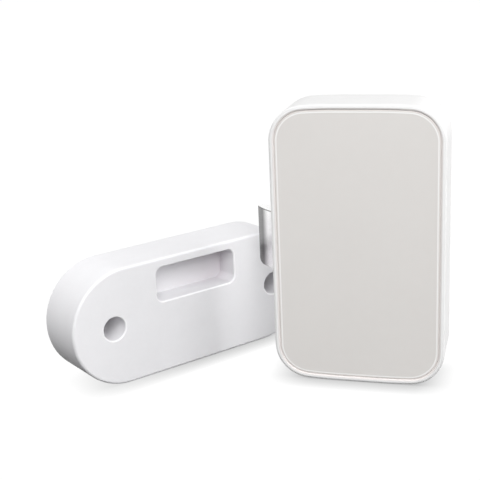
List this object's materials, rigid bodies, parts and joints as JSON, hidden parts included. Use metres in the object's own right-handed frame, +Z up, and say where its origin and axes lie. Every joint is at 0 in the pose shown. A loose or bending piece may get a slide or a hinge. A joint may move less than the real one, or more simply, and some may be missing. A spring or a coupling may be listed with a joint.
{
  "type": "smart drawer lock",
  "caption": "Slim battery lock for drawers and cabinets with a sprung wedge bolt driven by a worm gear, and a pill-shaped striker block with a slot and counterbored screw holes.",
  "frame": {"origin": "middle of the lock's foot, on the floor", "axes": "+Z up along the casing's height, +X to the right seen from the front, +Y to the back, so that the bolt points along -X and the front panel looks along -Y"},
  "size_m": [0.1243, 0.0838, 0.088],
  "materials": {
    "shell_white": "smooth white moulded ABS, satin to semi-gloss",
    "panel_grey": "warm light grey moulded panel, fine satin texture",
    "striker_white": "smooth white moulded ABS, satin to semi-gloss",
    "foam": "pale adhesive foam",
    "bolt_metal": "polished zinc casting",
    "steel": "bright steel",
    "nickel": "nickel-plated sheet and wire",
    "brass": "turned brass",
    "acetal": "natural acetal",
    "black_nylon": "black nylon",
    "grey_nylon": "grey nylon",
    "cell_jacket": "plain dark cell jacket, no markings",
    "board_green": "green circuit board",
    "black_case": "black moulded component case",
    "lead_red": "red lead jacket",
    "lead_black": "black lead jacket"
  },
  "bodies": {
    "lock": {"back_pad": "foam", "back_plate": "shell_white", "back_screw_1": "steel", "back_screw_2": "steel", "back_screw_3": "steel", "back_screw_4": "steel", "battery_cell_1": "cell_jacket", "battery_cell_2": "cell_jacket", "battery_lead_1": "lead_black", "battery_lead_2": "lead_red", "battery_tray": "grey_nylon", "board_screw_1": "steel", "board_screw_2": "steel", "buzzer": "black_case", "circuit_board": "board_green", "contact_link": "nickel", "contact_plate_1": "nickel", "contact_plate_2": "nickel", "contact_spring_1": "nickel", "contact_spring_2": "nickel", "control_chip": "black_case", "cover_screw_1": "steel", "cover_screw_2": "steel", "cover_screw_3": "steel", "housing": "shell_white", "mechanism_base": "grey_nylon", "mechanism_cover": "nickel", "motor_can": "steel", "motor_cap": "black_nylon", "motor_clamp": "nickel", "motor_lead_1": "lead_black", "motor_lead_2": "lead_red", "radio_module": "nickel", "reset_switch": "black_case", "wheel_axle": "steel"},
    "battery_cover": {"front_panel": "panel_grey"},
    "carriage": {"bolt_carriage": "black_nylon", "bolt_spring": "steel"},
    "bolt": {"latch_bolt": "bolt_metal", "bolt_clip": "steel"},
    "gear": {"worm_wheel": "acetal"},
    "worm_screw": {"worm": "brass", "motor_shaft": "steel"},
    "button": {"reset_button": "acetal"},
    "striker": {"striker_body": "striker_white", "striker_pad": "foam"}
  },
  "joints": [
    {"name": "carriage_slide", "type": "slide", "parent": "lock", "child": "carriage", "axis": [1, 0, 0], "range_m": [0, 0.0074]},
    {"name": "bolt_slide", "type": "slide", "parent": "carriage", "child": "bolt", "axis": [1, 0, 0], "range_m": [0, 0.0074], "stiffness_N_per_m": 250, "springref_m": -0.006, "deforming": ["bolt_spring"]},
    {"name": "worm_wheel_turn", "type": "hinge", "parent": "lock", "child": "gear", "pos_m": [0.01405, 0.0001, 0.0542], "axis": [0, 1, 0], "range_deg": [-107, 0]},
    {"name": "worm_turn", "type": "hinge", "parent": "lock", "child": "worm_screw", "pos_m": [0.01405, 0.0001, 0.0638], "axis": [1, 0, 0], "range_deg": [0, 2550]},
    {"name": "front_panel_pull", "type": "slide", "parent": "lock", "child": "battery_cover", "axis": [0, -1, 0], "range_m": [0, 0.02]},
    {"name": "reset_button_press", "type": "slide", "parent": "lock", "child": "button", "axis": [0, 1, 0], "range_m": [0, 0.0005], "stiffness_N_per_m": 400, "springref_m": -0.0003},
    {"name": "striker_apart", "type": "slide", "parent": "lock", "child": "striker", "axis": [-1, 0, 0], "range_m": [0, 0.04]}
  ],
  "couplings": [
    {"joint": "worm_wheel_turn", "follows": "carriage_slide", "rad_per_m": -250},
    {"joint": "worm_turn", "follows": "carriage_slide", "rad_per_m": 6000}
  ]
}
